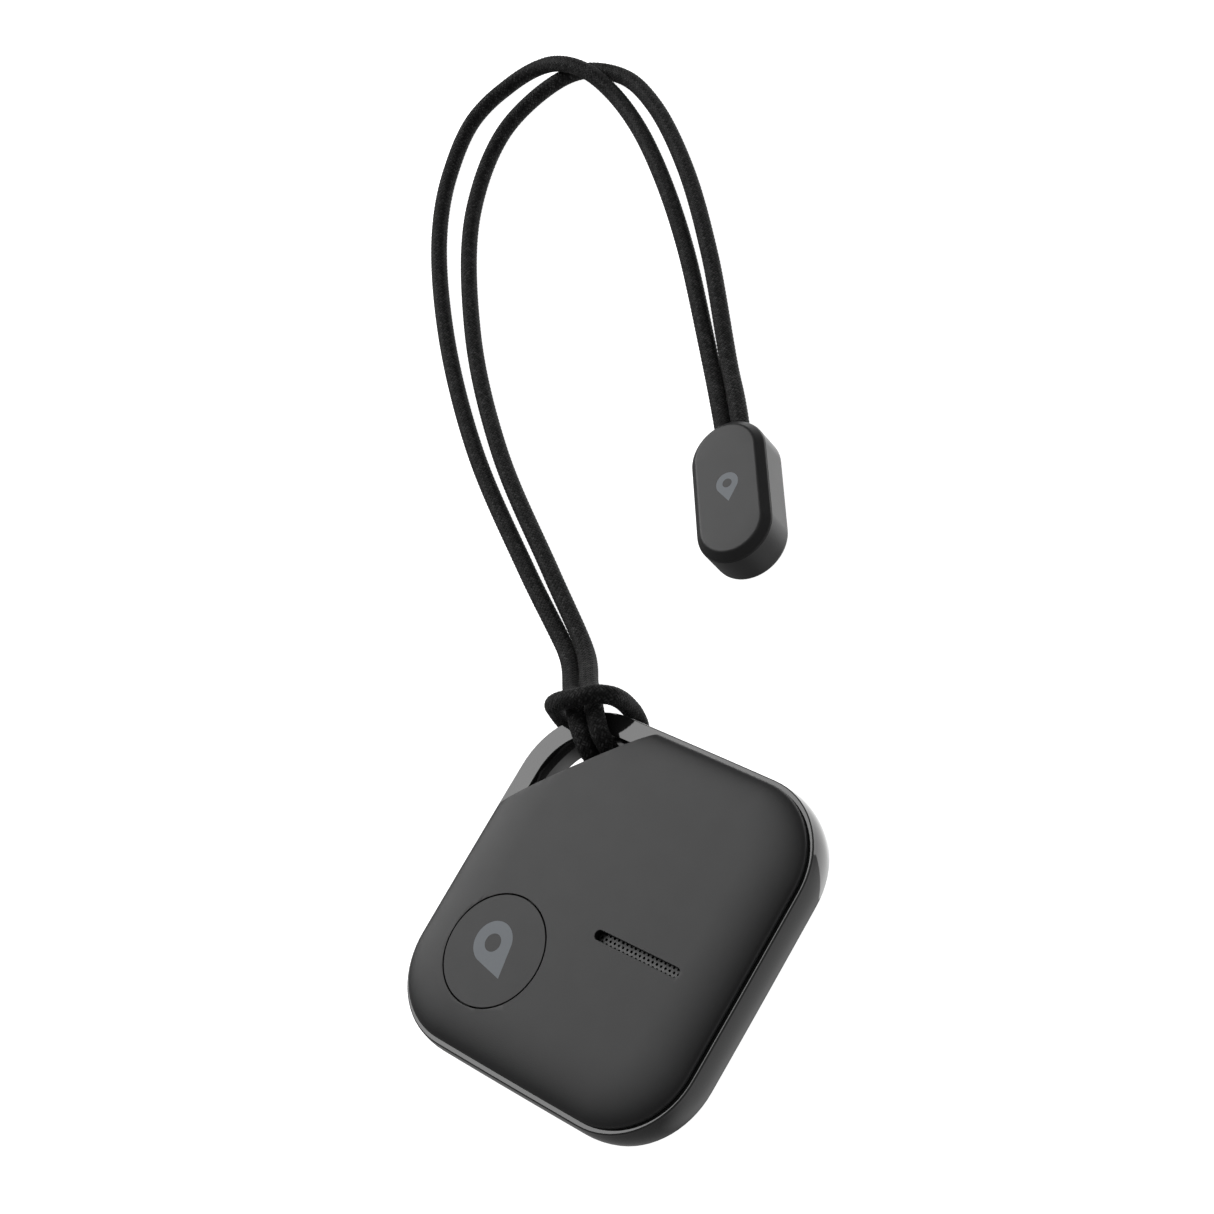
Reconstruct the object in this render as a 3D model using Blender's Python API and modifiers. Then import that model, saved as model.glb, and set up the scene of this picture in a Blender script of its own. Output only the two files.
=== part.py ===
"""A Bluetooth tracker tag with a cord lanyard and a stadium-shaped end bead, lying on a surface.

Frame: metres, +Z up, +X and +Y along the tag's sides. The origin is on the surface, under the middle
of the tag. The eyelet is at the corner towards -X and +Y, the button at the corner towards -X and -Y.
"""

import math

import bmesh
import bpy
from mathutils import Matrix, Vector

# Tag outline
RIM_HALF = 0.0190
RIM_CORNER = 0.0090
SIDE_BOW = 0.00003
COVER_INSET = 0.0005
REAR_INSET = 0.0010
EYELET_CUT = 0.016617
REAR_CUT = 0.0158
ARC_STEPS = 6
SIDE_STEPS = 4

# Heights above the surface
FRAME_LOW = 0.0024
RIM_TOP = 0.0060
FRONT_TOP = 0.0075
REAR_FLOOR = 0.0012
FRONT_INNER = 0.0067
BOARD_LOW = 0.0049
BOARD_TOP = 0.0055
CHASSIS_TOP = 0.0047

# Mid frame
SIDE_BULGE = 0.00025
CAVITY_HALF = 0.0170
CAVITY_CUT = 0.0146
HOLE_HALF = 0.01665
HOLE_CORNER = 0.0066
HOLE_CUT = 0.0158
HOLE_BULGE = 0.0002
BELOW = 0.0010
ABOVE = 0.0080

# Cover shells
LIP_HALF = 0.0163
LIP_CUT = 0.0139
LIP_DEPTH = 0.0007
LIP_WALL = 0.0009
FRONT_SHOULDER = 0.0060
FRONT_EDGE_HEIGHT = 0.00035
REAR_SHOULDER = 0.0030
REAR_EDGE_HEIGHT = 0.00075
SEAT_GAP = 0.0001
SEAL_WALL = 0.0004

# Button
BUTTON_PLACE = (-0.00836, -0.00833)
BUTTON_RADIUS = 0.00595
BUTTON_GAP = 0.00016
BUTTON_FLANGE = 0.0066
ICON_HEIGHT = 0.0064
ICON_DEPTH = 0.00012
ICON_GAP = 0.00006

# Speaker and buzzer
SLOT_START = (0.00205, -0.0022)
SLOT_END = (0.0121, -0.00205)
SLOT_RADIUS = 0.00052
SLOT_SEAT = 0.0004
BUZZER_RADIUS = 0.0070

# Coin cell and its door
CELL_RADIUS = 0.0100
CELL_LOW = 0.00115
CELL_HEIGHT = 0.0032
DOOR_FLANGE = 0.0126
DOOR_RECESS = 0.0128
DOOR_BODY = 0.0109
LEDGE_OPENING = 0.0111
LUG_REACH = 0.0120
LUG_HALF_ANGLE = math.radians(11)
NOTCH_REACH = 0.0122
NOTCH_HALF_ANGLE = math.radians(14)
LUG_COUNT = 3
DOOR_TURN = math.radians(30)

# Screws through the board into the chassis
SCREW_PLACES = ((0.0125, 0.0125), (0.0125, -0.0125), (-0.0135, -0.0005))

# Lanyard cord and bead
CORD_DIAMETER = 0.0020
CORD_PITCH = 0.00204
BEAD_CENTRE = Vector((-0.0150, 0.04615))
BEAD_AXIS = Vector((0.617, -0.787)).normalized()
BEAD_STRAIGHT = 0.00446
BEAD_RADIUS = 0.00442
BEAD_FACE_RADIUS = 0.00361
BEAD_TOP = 0.0050
BEAD_SPLIT = 0.0040
BEAD_MID = 0.0025
MOST_CORD_STEP = 0.0070
MOST_CORD_TURN = math.radians(27)

HALF_ROOT = math.sqrt(0.5)


# Outlines in the plane, as lists of (x, y)


def arc(centre, radius, start, end, steps):
    """Points on an arc, both ends included, with angles in degrees."""
    found = []
    for step in range(steps + 1):
        angle = math.radians(start + (end - start) * step / steps)
        found.append((centre[0] + radius * math.cos(angle), centre[1] + radius * math.sin(angle)))
    return found


def rounded_square(half, corner):
    """A square with round corners, whose sides bow out a little in their middle."""
    inner = half - corner
    outline = []
    for turn in range(4):
        start = 90 * turn
        centre = Vector((inner, inner))
        centre.rotate(Matrix.Rotation(math.radians(start), 2))
        outline += arc(centre, corner, start, start + 90, ARC_STEPS)
        for step in range(1, SIDE_STEPS):
            along = 1 - 2 * step / SIDE_STEPS
            point = Vector((inner * along, half + SIDE_BOW * (1 - along * along)))
            point.rotate(Matrix.Rotation(math.radians(start), 2))
            outline.append(tuple(point))
    return outline


def diagonal(u, v):
    """The point at u towards the eyelet corner and v along the eyelet's bar."""
    return (HALF_ROOT * (v - u), HALF_ROOT * (u + v))


def reach(point):
    """How far a point lies towards the eyelet corner."""
    return HALF_ROOT * (point[1] - point[0])


def clipped(outline, limit, keep_outer=False):
    """The part of a convex outline within limit towards the eyelet corner, or the part beyond it."""
    sign = -1 if keep_outer else 1
    found = []
    for here, ahead in zip(outline, outline[1:] + outline[:1]):
        a = sign * (limit - reach(here))
        b = sign * (limit - reach(ahead))
        if a >= 0:
            found.append(here)
        if a * b < 0:
            t = a / (a - b)
            found.append((here[0] + t * (ahead[0] - here[0]), here[1] + t * (ahead[1] - here[1])))
    return found


def stadium(start, end, radius, steps=12):
    """A slot with round ends about two centres."""
    along = math.degrees(math.atan2(end[1] - start[1], end[0] - start[0]))
    first = arc(start, radius, along + 90, along + 270, steps)
    return first + arc(end, radius, along - 90, along + 90, steps)


def bead_outline(radius):
    run = BEAD_STRAIGHT * BEAD_AXIS
    return stadium(BEAD_CENTRE - run, BEAD_CENTRE + run, radius)


def pin_outline(centre, up, height):
    """A map pin, with its head towards up, and its round window."""
    head = height * 0.36
    middle = Vector(centre) + up * (height / 2 - head)
    facing = math.degrees(math.atan2(up[1], up[0]))
    body = arc(middle, head, facing - 118, facing + 118, 20)
    tip = Vector(centre) - up * (height / 2)
    return body + [tuple(tip)], arc(middle, head * 0.42, 0, 345, 23)


# Solids


def clear_scene():
    for obj in list(bpy.data.objects):
        bpy.data.objects.remove(obj, do_unlink=True)


def new_collection(name):
    collection = bpy.data.collections.new(name)
    bpy.context.scene.collection.children.link(collection)
    return collection


def material(name, colour, roughness, metallic=0.0):
    made = bpy.data.materials.new(name)
    made.use_nodes = True
    shader = made.node_tree.nodes["Principled BSDF"]
    shader.inputs["Base Color"].default_value = (*colour, 1.0)
    shader.inputs["Roughness"].default_value = roughness
    shader.inputs["Metallic"].default_value = metallic
    return made


def add_mesh(name, bm):
    bmesh.ops.recalc_face_normals(bm, faces=bm.faces)
    mesh = bpy.data.meshes.new(name)
    bm.to_mesh(mesh)
    bm.free()
    obj = bpy.data.objects.new(name, mesh)
    parts.objects.link(obj)
    return obj


def loft(name, rings):
    """A closed solid through level rings with the same count of points. Each ring is (outline, z)."""
    bm = bmesh.new()
    levels = []
    for outline, z in rings:
        levels.append([bm.verts.new((x, y, z)) for x, y in outline])
    for low, high in zip(levels, levels[1:]):
        for i in range(len(low)):
            j = (i + 1) % len(low)
            bm.faces.new((low[i], low[j], high[j], high[i]))
    bm.faces.new(levels[0])
    bm.faces.new(levels[-1])
    return add_mesh(name, bm)


def made_mesh(curve_object):
    """Replaces a curve object with the mesh that it makes, with its caps welded."""
    bpy.context.view_layer.update()
    graph = bpy.context.evaluated_depsgraph_get()
    mesh = bpy.data.meshes.new_from_object(curve_object.evaluated_get(graph))
    bm = bmesh.new()
    bm.from_mesh(mesh)
    bmesh.ops.remove_doubles(bm, verts=bm.verts, dist=1e-7)
    bmesh.ops.recalc_face_normals(bm, faces=bm.faces)
    bm.to_mesh(mesh)
    bm.free()
    name = curve_object.name
    place = curve_object.matrix_world.copy()
    bpy.data.objects.remove(curve_object, do_unlink=True)
    obj = bpy.data.objects.new(name, mesh)
    obj.matrix_world = place
    parts.objects.link(obj)
    return obj


def plate(name, outlines, low, high, tilt=None):
    """A flat piece between two heights, with the outlines after the first as its holes."""
    curve = bpy.data.curves.new(name, "CURVE")
    curve.dimensions = "2D"
    curve.fill_mode = "BOTH"
    curve.extrude = (high - low) / 2
    for outline in outlines:
        spline = curve.splines.new("POLY")
        spline.points.add(len(outline) - 1)
        spline.use_cyclic_u = True
        for point, (x, y) in zip(spline.points, outline):
            point.co = (x, y, 0, 1)
    obj = bpy.data.objects.new(name, curve)
    parts.objects.link(obj)
    obj.matrix_world = (tilt or Matrix()) @ Matrix.Translation((0, 0, (low + high) / 2))
    return made_mesh(obj)


def disc(name, centre, radius, low, high, segments=32):
    bm = bmesh.new()
    bmesh.ops.create_cone(
        bm, cap_ends=True, segments=segments, radius1=radius, radius2=radius, depth=high - low
    )
    obj = add_mesh(name, bm)
    obj.location = (centre[0], centre[1], (low + high) / 2)
    return obj


def block(name, centre, size, low, high, turn=0.0):
    bm = bmesh.new()
    bmesh.ops.create_cube(bm, size=1.0)
    bmesh.ops.scale(bm, verts=bm.verts, vec=(size[0], size[1], high - low))
    obj = add_mesh(name, bm)
    obj.location = (centre[0], centre[1], (low + high) / 2)
    obj.rotation_euler.z = turn
    return obj


def turned(name, profile, closed=False, steps=48):
    """A profile of (radius, z), top to bottom on its outer side, turned about the Z axis."""
    bm = bmesh.new()
    verts = [bm.verts.new((radius, 0, z)) for radius, z in profile]
    for a, b in zip(verts, verts[1:]):
        bm.edges.new((a, b))
    if closed:
        bm.edges.new((verts[-1], verts[0]))
    mesh = bpy.data.meshes.new(name)
    bm.to_mesh(mesh)
    bm.free()
    obj = bpy.data.objects.new(name, mesh)
    parts.objects.link(obj)
    screw = obj.modifiers.new("turn", "SCREW")
    screw.steps = steps
    screw.render_steps = steps
    screw.use_merge_vertices = True
    screw.merge_threshold = 1e-6
    return obj


def ring(name, centre, inner, outer, low, high, steps=32):
    obj = turned(name, [(outer, high), (outer, low), (inner, low), (inner, high)], True, steps)
    obj.location = (centre[0], centre[1], 0)
    return obj


def boolean(obj, other, operation):
    modifier = obj.modifiers.new(other.name, "BOOLEAN")
    modifier.operation = operation
    modifier.object = other
    parts.objects.unlink(other)
    cutters.objects.link(other)
    other.hide_render = True
    other.display_type = "WIRE"


def cut(obj, *others):
    for other in others:
        boolean(obj, other, "DIFFERENCE")


def join(obj, *others):
    for other in others:
        boolean(obj, other, "UNION")


def bevelled(obj, width, segments=2):
    modifier = obj.modifiers.new("edges", "BEVEL")
    modifier.width = width
    modifier.segments = segments
    modifier.limit_method = "ANGLE"
    modifier.angle_limit = math.radians(50)
    return obj


def finished(obj, surface):
    obj.data.materials.clear()
    obj.data.materials.append(surface)
    if obj.type == "MESH":
        obj.data.shade_smooth()
        obj.data.set_sharp_from_angle(angle=math.radians(35))
    return obj


# Frame and covers


def corner_cutter(name, limit, low, high):
    """The block beyond the straight cut that leaves the eyelet free."""
    far = 0.040
    outline = [diagonal(limit, -far), diagonal(limit, far)]
    outline += [diagonal(far, far), diagonal(far, -far)]
    return plate(name, [outline], low, high)


def cover_outline(inset):
    return rounded_square(RIM_HALF - inset, RIM_CORNER - inset)


def shoulder_rings(side, flat, edge, seat, width, steps=6):
    """Rings of a cover from its seat, up its steep edge and over a domed shoulder to its flat face."""
    rings = [(cover_outline(side), seat), (cover_outline(side), edge)]
    for step in range(1, steps + 1):
        angle = math.pi / 2 * step / steps
        inset = width * (1 - math.cos(angle)) ** 1.15
        rings.append((cover_outline(side + inset), edge + (flat - edge) * math.sin(angle)))
    return rings


def inner_outline(half, limit):
    return clipped(rounded_square(half, half - (RIM_HALF - RIM_CORNER)), limit)


def swelling(z):
    """How full the frame's rounded walls are at a height: 1 half way up, 0 at its two faces."""
    offset = (z - (RIM_TOP + FRAME_LOW) / 2) / ((RIM_TOP - FRAME_LOW) / 2)
    return max(0.0, 1 - offset * offset)


def hole_outline(z):
    """The eyelet hole at a height: narrower half way up, where its round wall swells into it."""
    inset = HOLE_BULGE * swelling(z)
    return clipped(rounded_square(HOLE_HALF - inset, HOLE_CORNER - inset), HOLE_CUT, keep_outer=True)


def mid_frame():
    edge = 0.00012
    levels = [FRAME_LOW + edge + (RIM_TOP - FRAME_LOW - 2 * edge) * step / 6 for step in range(7)]
    rings = [(rounded_square(RIM_HALF - edge, RIM_CORNER - edge), FRAME_LOW)]
    for z in levels:
        half = RIM_HALF + SIDE_BULGE * swelling(z)
        rings.append((rounded_square(half, half - (RIM_HALF - RIM_CORNER)), z))
    rings.append((rounded_square(RIM_HALF - edge, RIM_CORNER - edge), RIM_TOP))
    frame = loft("mid_frame", rings)
    hole_levels = [BELOW] + [FRAME_LOW + (RIM_TOP - FRAME_LOW) * step / 6 for step in range(7)] + [ABOVE]
    cut(
        frame,
        plate("frame_cavity", [inner_outline(CAVITY_HALF, CAVITY_CUT)], BELOW, ABOVE),
        loft("eyelet_hole", [(hole_outline(z), z) for z in hole_levels]),
    )
    return finished(frame, GLOSS_BLACK)


def cover_lip(name, low, high):
    return plate(name, [inner_outline(LIP_HALF, LIP_CUT)], low, high)


def cover_hollow(name, low, high):
    return plate(name, [inner_outline(LIP_HALF - LIP_WALL, LIP_CUT - LIP_WALL)], low, high)


def front_cover():
    seat = RIM_TOP + SEAT_GAP
    edge = RIM_TOP + FRONT_EDGE_HEIGHT
    cover = loft("front_cover", shoulder_rings(COVER_INSET, FRONT_TOP, edge, seat, FRONT_SHOULDER))
    join(cover, cover_lip("front_lip", RIM_TOP - LIP_DEPTH, seat + 0.0002))
    cut(
        cover,
        cover_hollow("front_hollow", RIM_TOP - LIP_DEPTH - 0.001, FRONT_INNER),
        corner_cutter("front_corner", EYELET_CUT, 0.004, 0.009),
        disc("button_hole", BUTTON_PLACE, BUTTON_RADIUS + BUTTON_GAP, RIM_TOP, ABOVE, 48),
        plate("speaker_slot", [stadium(SLOT_START, SLOT_END, SLOT_RADIUS)], RIM_TOP, ABOVE),
    )
    return finished(cover, SOFT_TOUCH)


def sector(name, radius, half_angle, low, high, middle):
    """A wedge of a disc about the Z axis."""
    half = math.degrees(half_angle)
    outline = [(0.0, 0.0)] + arc((0, 0), radius, middle - half, middle + half, 6)
    return plate(name, [outline], low, high)


def rear_cover():
    seat = FRAME_LOW - SEAT_GAP
    shoulder = shoulder_rings(REAR_INSET, FRAME_LOW, REAR_EDGE_HEIGHT, SEAT_GAP, REAR_SHOULDER)
    cover = loft("rear_cover", [(outline, FRAME_LOW - z) for outline, z in shoulder])
    join(cover, cover_lip("rear_lip", seat - 0.0002, FRAME_LOW + LIP_DEPTH))
    cut(
        cover,
        cover_hollow("rear_hollow", REAR_FLOOR, FRAME_LOW + LIP_DEPTH + 0.001),
        corner_cutter("rear_corner", REAR_CUT, -0.001, 0.004),
        disc("door_recess", (0, 0), DOOR_RECESS, -0.001, 0.0006, 48),
        disc("door_opening", (0, 0), LEDGE_OPENING, -0.001, 0.002, 48),
    )
    for place in range(LUG_COUNT):
        middle = 360 * place / LUG_COUNT - math.degrees(DOOR_TURN)
        cut(cover, sector(f"notch_{place}", NOTCH_REACH, NOTCH_HALF_ANGLE, 0.0004, 0.002, middle))
    return finished(cover, SOFT_TOUCH)


def lip_seal(name, low, high):
    half = LIP_HALF + 0.0001
    outer = inner_outline(half + SEAL_WALL, LIP_CUT + 0.0001 + SEAL_WALL)
    return finished(plate(name, [outer, inner_outline(half, LIP_CUT + 0.0001)], low, high), RUBBER)


# Battery bay


def battery_door():
    floor_top = 0.0010
    profile = [(0, floor_top), (0.0102, floor_top), (0.0102, 0.00185), (DOOR_BODY, 0.00185)]
    profile += [(DOOR_BODY, 0.0005), (DOOR_FLANGE, 0.0005), (DOOR_FLANGE, 0.0001)]
    profile += [(DOOR_FLANGE - 0.0001, 0), (0, 0)]
    door = turned("battery_door", profile)
    for place in range(LUG_COUNT):
        lug = sector(f"lug_{place}", LUG_REACH, LUG_HALF_ANGLE, 0.00135, 0.0018, 360 * place / LUG_COUNT)
        cut(lug, disc(f"lug_root_{place}", (0, 0), DOOR_BODY - 0.0004, 0.001, 0.003, 48))
        join(door, lug)
    cut(door, plate("coin_slot", [stadium((-0.0055, 0), (0.0055, 0), 0.0009)], -0.001, 0.0005))
    return finished(door, SOFT_TOUCH)


def coin_cell():
    top = CELL_LOW + CELL_HEIGHT
    wall = 0.00025
    inner = CELL_RADIUS - wall
    can = [(0, CELL_LOW + wall), (inner, CELL_LOW + wall), (inner, top - 0.0004)]
    can += [(CELL_RADIUS, top - 0.0004), (CELL_RADIUS, CELL_LOW + 0.0003)]
    can += [(CELL_RADIUS - 0.0003, CELL_LOW), (0, CELL_LOW)]
    finished(turned("coin_cell_can", can), STEEL)
    anode = [(0, top), (0.0085, top), (0.0088, top - 0.0003), (0.0090, CELL_LOW + 0.0005)]
    anode += [(0, CELL_LOW + 0.0005)]
    finished(turned("coin_cell_anode", anode), STEEL)
    gasket = ring("coin_cell_gasket", (0, 0), 0.0091, inner - 0.0001, CELL_LOW + 0.0004, top - 0.0005)
    finished(gasket, RUBBER)


def inner_chassis():
    outline = inner_outline(CAVITY_HALF - 0.0003, CAVITY_CUT - 0.0003)
    bore = arc((0, 0), 0.0106, 0, 352.5, 47)
    chassis = plate("inner_chassis", [outline, bore], FRAME_LOW + LIP_DEPTH + 0.0002, CHASSIS_TOP)
    cut(chassis, block("contact_notch", (0.0118, 0), (0.0040, 0.0046), 0.0043, 0.0060))
    for number, place in enumerate(SCREW_PLACES, 1):
        cut(chassis, disc(f"chassis_hole_{number}", place, 0.0006, 0.0034, 0.0060, 16))
    return finished(chassis, CHASSIS_GREY)


def strip(name, path, thickness, width):
    """A bent metal strip: a path of (x, z) with a thickness, and its width along Y."""
    outline = list(path) + [(x, z - thickness) for x, z in reversed(path)]
    upright = Matrix.Rotation(math.radians(90), 4, "X")
    return plate(name, [outline], -width / 2, width / 2, upright)


def battery_contacts():
    leaf = [(-0.0050, 0.0048), (-0.0035, 0.0048), (-0.0012, 0.00455), (0.0012, 0.00455)]
    leaf += [(0.0035, 0.0048), (0.0050, 0.0048)]
    finished(strip("contact_negative", leaf, 0.00012, 0.0024), STEEL)
    upright = block("contact_positive", (0.01025, 0), (0.0002, 0.0038), 0.0026, 0.0048)
    join(upright, block("contact_foot", (0.0115, 0), (0.0025, 0.0038), 0.0046, 0.0048))
    finished(upright, STEEL)


# Circuit board


def circuit_board():
    outline = inner_outline(0.0153, 0.0128)
    holes = [arc(place, 0.00065, 0, 337.5, 15) for place in SCREW_PLACES]
    return finished(plate("circuit_board", [outline] + holes, BOARD_LOW, BOARD_TOP), BOARD_GREEN)


def board_screws():
    for number, (x, y) in enumerate(SCREW_PLACES, 1):
        top = BOARD_TOP + 0.0006
        profile = [(0, top), (0.0008, top), (0.0010, top - 0.0002), (0.0010, BOARD_TOP + 0.0001)]
        profile += [(0.0005, BOARD_TOP + 0.0001), (0.0005, 0.0038), (0, 0.0036)]
        screw = turned(f"board_screw_{number}", profile, steps=20)
        screw.location = (x, y, 0)
        cut(screw, block(f"drive_{number}", (x, y), (0.0012, 0.0003), top - 0.0003, top + 0.001, 0.6))
        finished(screw, STEEL)


def board_components():
    low = BOARD_TOP + 0.0001
    shield = block("radio_shield_can", (0.0035, 0.0095), (0.0072, 0.0066), low, low + 0.0009)
    finished(bevelled(shield, 0.0002), STEEL)
    crystal = block("crystal", (0.0098, 0.0085), (0.0025, 0.0020), low, low + 0.0006)
    finished(bevelled(crystal, 0.0002), STEEL)
    finished(block("chip_antenna", (-0.0035, 0.0105), (0.0020, 0.0060), low, low + 0.0008), CERAMIC_WHITE)
    for number, y in enumerate((0.0030, 0.0050, 0.0070), 1):
        capacitor = block(f"capacitor_{number}", (-0.0075, y), (0.0016, 0.0008), low, low + 0.0008)
        finished(capacitor, CERAMIC_TAN)


def buzzer():
    centre = ((SLOT_START[0] + SLOT_END[0]) / 2, (SLOT_START[1] + SLOT_END[1]) / 2)
    finished(disc("buzzer_ceramic_disc", centre, 0.0045, 0.00560, 0.00575, 40), CERAMIC_TAN)
    finished(disc("buzzer_brass_disc", centre, BUZZER_RADIUS, 0.00585, 0.00600, 48), BRASS)
    finished(ring("buzzer_foam_ring", centre, 0.0063, BUZZER_RADIUS, 0.0061, 0.0066, 40), RUBBER)
    backing = [stadium(SLOT_START, SLOT_END, SLOT_RADIUS + SLOT_SEAT)]
    finished(plate("speaker_mesh", backing, 0.0064, 0.0066), MESH_STEEL)
    finished(plate("speaker_dust_cloth", backing, 0.0062, 0.0063), DUST_CLOTH)


# Button


def button_cap():
    x, y = BUTTON_PLACE
    profile = [(0, FRONT_TOP), (BUTTON_RADIUS - 0.0001, FRONT_TOP), (BUTTON_RADIUS, FRONT_TOP - 0.0001)]
    profile += [(BUTTON_RADIUS, 0.0066), (BUTTON_FLANGE, 0.0066), (BUTTON_FLANGE, 0.0063)]
    profile += [(0.0009, 0.0063), (0.0009, 0.00625), (0, 0.00625)]
    cap = turned("button_cap", profile)
    cap.location = (x, y, 0)
    towards_eyelet = Vector(diagonal(1, 0))
    pocket = pin_outline(BUTTON_PLACE, towards_eyelet, ICON_HEIGHT + 2 * ICON_GAP)[0]
    cut(cap, plate("icon_pocket", [pocket], FRONT_TOP - ICON_DEPTH - 0.0001, 0.0090))
    finished(cap, SOFT_TOUCH)
    outlines = list(pin_outline(BUTTON_PLACE, towards_eyelet, ICON_HEIGHT))
    icon = plate("button_icon", outlines, FRONT_TOP - ICON_DEPTH, FRONT_TOP)
    finished(icon, ICON_GREY)
    return cap, icon


def tactile_switch():
    base = block("switch_base", BUTTON_PLACE, (0.0040, 0.0040), BOARD_TOP + 0.0001, 0.0060)
    cut(base, disc("switch_bore", BUTTON_PLACE, 0.0010, 0.0050, 0.0070, 24))
    finished(base, CHASSIS_GREY)
    return finished(disc("switch_plunger", BUTTON_PLACE, 0.0008, 0.00588, 0.00615, 24), STEEL)


# Lanyard


def hitch(u, v, z):
    """A route point near the eyelet, given along its diagonal."""
    x, y = diagonal(u, v)
    return (x, y, z)


def bead_point(along, side, z):
    """A route point at along from the bead's mouth, into the bead, and side across it."""
    across = Vector((-BEAD_AXIS.y, BEAD_AXIS.x))
    mouth = BEAD_CENTRE - BEAD_AXIS * (BEAD_STRAIGHT + BEAD_RADIUS)
    x, y = mouth + BEAD_AXIS * along + across * side
    return (x, y, z)


LIE = CORD_DIAMETER / 2
LOW_LEG = LIE + 0.00005

# From the bead along the strand that crosses on top, round the eyelet's bar, and back to the bead.
CORD_ROUTE = [
    bead_point(0.0045, -CORD_PITCH / 2, BEAD_MID),
    bead_point(0.0000, -CORD_PITCH / 2, BEAD_MID),
    (-0.02492, 0.05617, 0.00195),
    (-0.02885, 0.05985, 0.00115),
    (-0.0420, 0.0731, LIE),
    (-0.0512, 0.0811, LIE),
    (-0.0594, 0.08705, LIE),
    (-0.0661, 0.0907, 0.0015),
    (-0.0704, 0.0921, 0.0027),
    (-0.0745, 0.09235, 0.0031),
    (-0.0790, 0.09185, 0.00215),
    (-0.0833, 0.0892, 0.0011),
    (-0.08585, 0.0833, LIE),
    (-0.0843, 0.0753, LIE),
    (-0.0800, 0.0670, LIE),
    (-0.0696, 0.0549, LIE),
    (-0.0544, 0.0418, LIE),
    (-0.0374, 0.0307, LIE),
    hitch(0.0347, -0.0014, 0.0012),
    hitch(0.0280, -0.00028, 0.0040),
    hitch(0.0239, 0.00108, 0.0069),
    hitch(0.0209, 0.00135, 0.0072),
    hitch(0.0188, 0.0014, 0.0063),
    hitch(0.01795, 0.0013, 0.0040),
    hitch(0.0186, 0.0008, 0.00185),
    hitch(0.0205, -0.0001, LOW_LEG),
    hitch(0.0233, -0.00125, LOW_LEG),
    hitch(0.02485, -0.0018, 0.00195),
    hitch(0.02515, -0.00185, 0.0040),
    hitch(0.0250, -0.0014, 0.0062),
    hitch(0.0241, -0.00045, 0.00835),
    hitch(0.0234, 0.00095, 0.0093),
    hitch(0.02285, 0.0026, 0.0095),
    hitch(0.0227, 0.00435, 0.0091),
    hitch(0.0225, 0.0057, 0.00795),
    hitch(0.0228, 0.00595, 0.0062),
    hitch(0.0231, 0.0058, 0.0042),
    hitch(0.02295, 0.00565, 0.0025),
    hitch(0.0220, 0.0054, 0.0012),
    hitch(0.0203, 0.0048, LOW_LEG),
    hitch(0.0183, 0.0038, 0.0018),
    hitch(0.0178, 0.0035, 0.0040),
    hitch(0.01825, 0.0035, 0.0059),
    hitch(0.0192, 0.00348, 0.0070),
    hitch(0.0209, 0.00342, 0.00722),
    hitch(0.0237, 0.0032, 0.0068),
    hitch(0.0270, 0.00228, 0.0050),
    hitch(0.0336, 0.00095, 0.0016),
    (-0.0344, 0.0317, LIE),
    (-0.0510, 0.0428, LIE),
    (-0.0655, 0.0559, LIE),
    (-0.0768, 0.0711, LIE),
    (-0.07975, 0.0828, LIE),
    (-0.07666, 0.09045, LIE),
    (-0.0731, 0.0931, LIE),
    (-0.0663, 0.0934, LIE),
    (-0.0594, 0.0906, LIE),
    (-0.0492, 0.0834, LIE),
    (-0.0384, 0.0733, LIE),
    (-0.02672, 0.06061, 0.00115),
    (-0.02282, 0.0570, 0.00195),
    bead_point(0.0000, CORD_PITCH / 2, BEAD_MID),
    bead_point(0.0045, CORD_PITCH / 2, BEAD_MID),
]


def smooth_curve(points, steps=24):
    """A centripetal Catmull-Rom curve through the points."""
    knots = [Vector(point) for point in points]
    knots = [2 * knots[0] - knots[1]] + knots + [2 * knots[-1] - knots[-2]]
    found = []
    for p0, p1, p2, p3 in zip(knots, knots[1:], knots[2:], knots[3:]):
        t1 = (p1 - p0).length ** 0.5
        t2 = t1 + (p2 - p1).length ** 0.5
        t3 = t2 + (p3 - p2).length ** 0.5
        for step in range(steps):
            t = t1 + (t2 - t1) * step / steps
            a1 = p0.lerp(p1, t / t1)
            a2 = p1.lerp(p2, (t - t1) / (t2 - t1))
            a3 = p2.lerp(p3, (t - t2) / (t3 - t2))
            b1 = a1.lerp(a2, t / t2)
            b2 = a2.lerp(a3, (t - t1) / (t3 - t1))
            found.append(b1.lerp(b2, (t - t1) / (t2 - t1)))
    found.append(knots[-2])
    return found


def thinned(curve):
    """The curve's points that a tube needs: one at each set length or turn, whichever comes first."""
    kept = [curve[0]]
    heading = curve[1] - curve[0]
    for here, ahead in zip(curve[1:], curve[2:]):
        turn = (ahead - here).angle(heading)
        if turn > MOST_CORD_TURN or (here - kept[-1]).length > MOST_CORD_STEP:
            kept.append(here)
            heading = ahead - here
    return kept + [curve[-1]]


def lanyard_cord():
    curve = bpy.data.curves.new("lanyard_cord", "CURVE")
    curve.dimensions = "3D"
    curve.bevel_depth = CORD_DIAMETER / 2
    curve.bevel_resolution = 2
    curve.use_fill_caps = True
    resting = [Vector((place.x, place.y, max(place.z, LIE))) for place in smooth_curve(CORD_ROUTE)]
    path = thinned(resting)
    spline = curve.splines.new("POLY")
    spline.points.add(len(path) - 1)
    for point, place in zip(spline.points, path):
        point.co = (*place, 1)
    obj = bpy.data.objects.new("lanyard_cord", curve)
    parts.objects.link(obj)
    return finished(obj, CORD_FABRIC)


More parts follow.
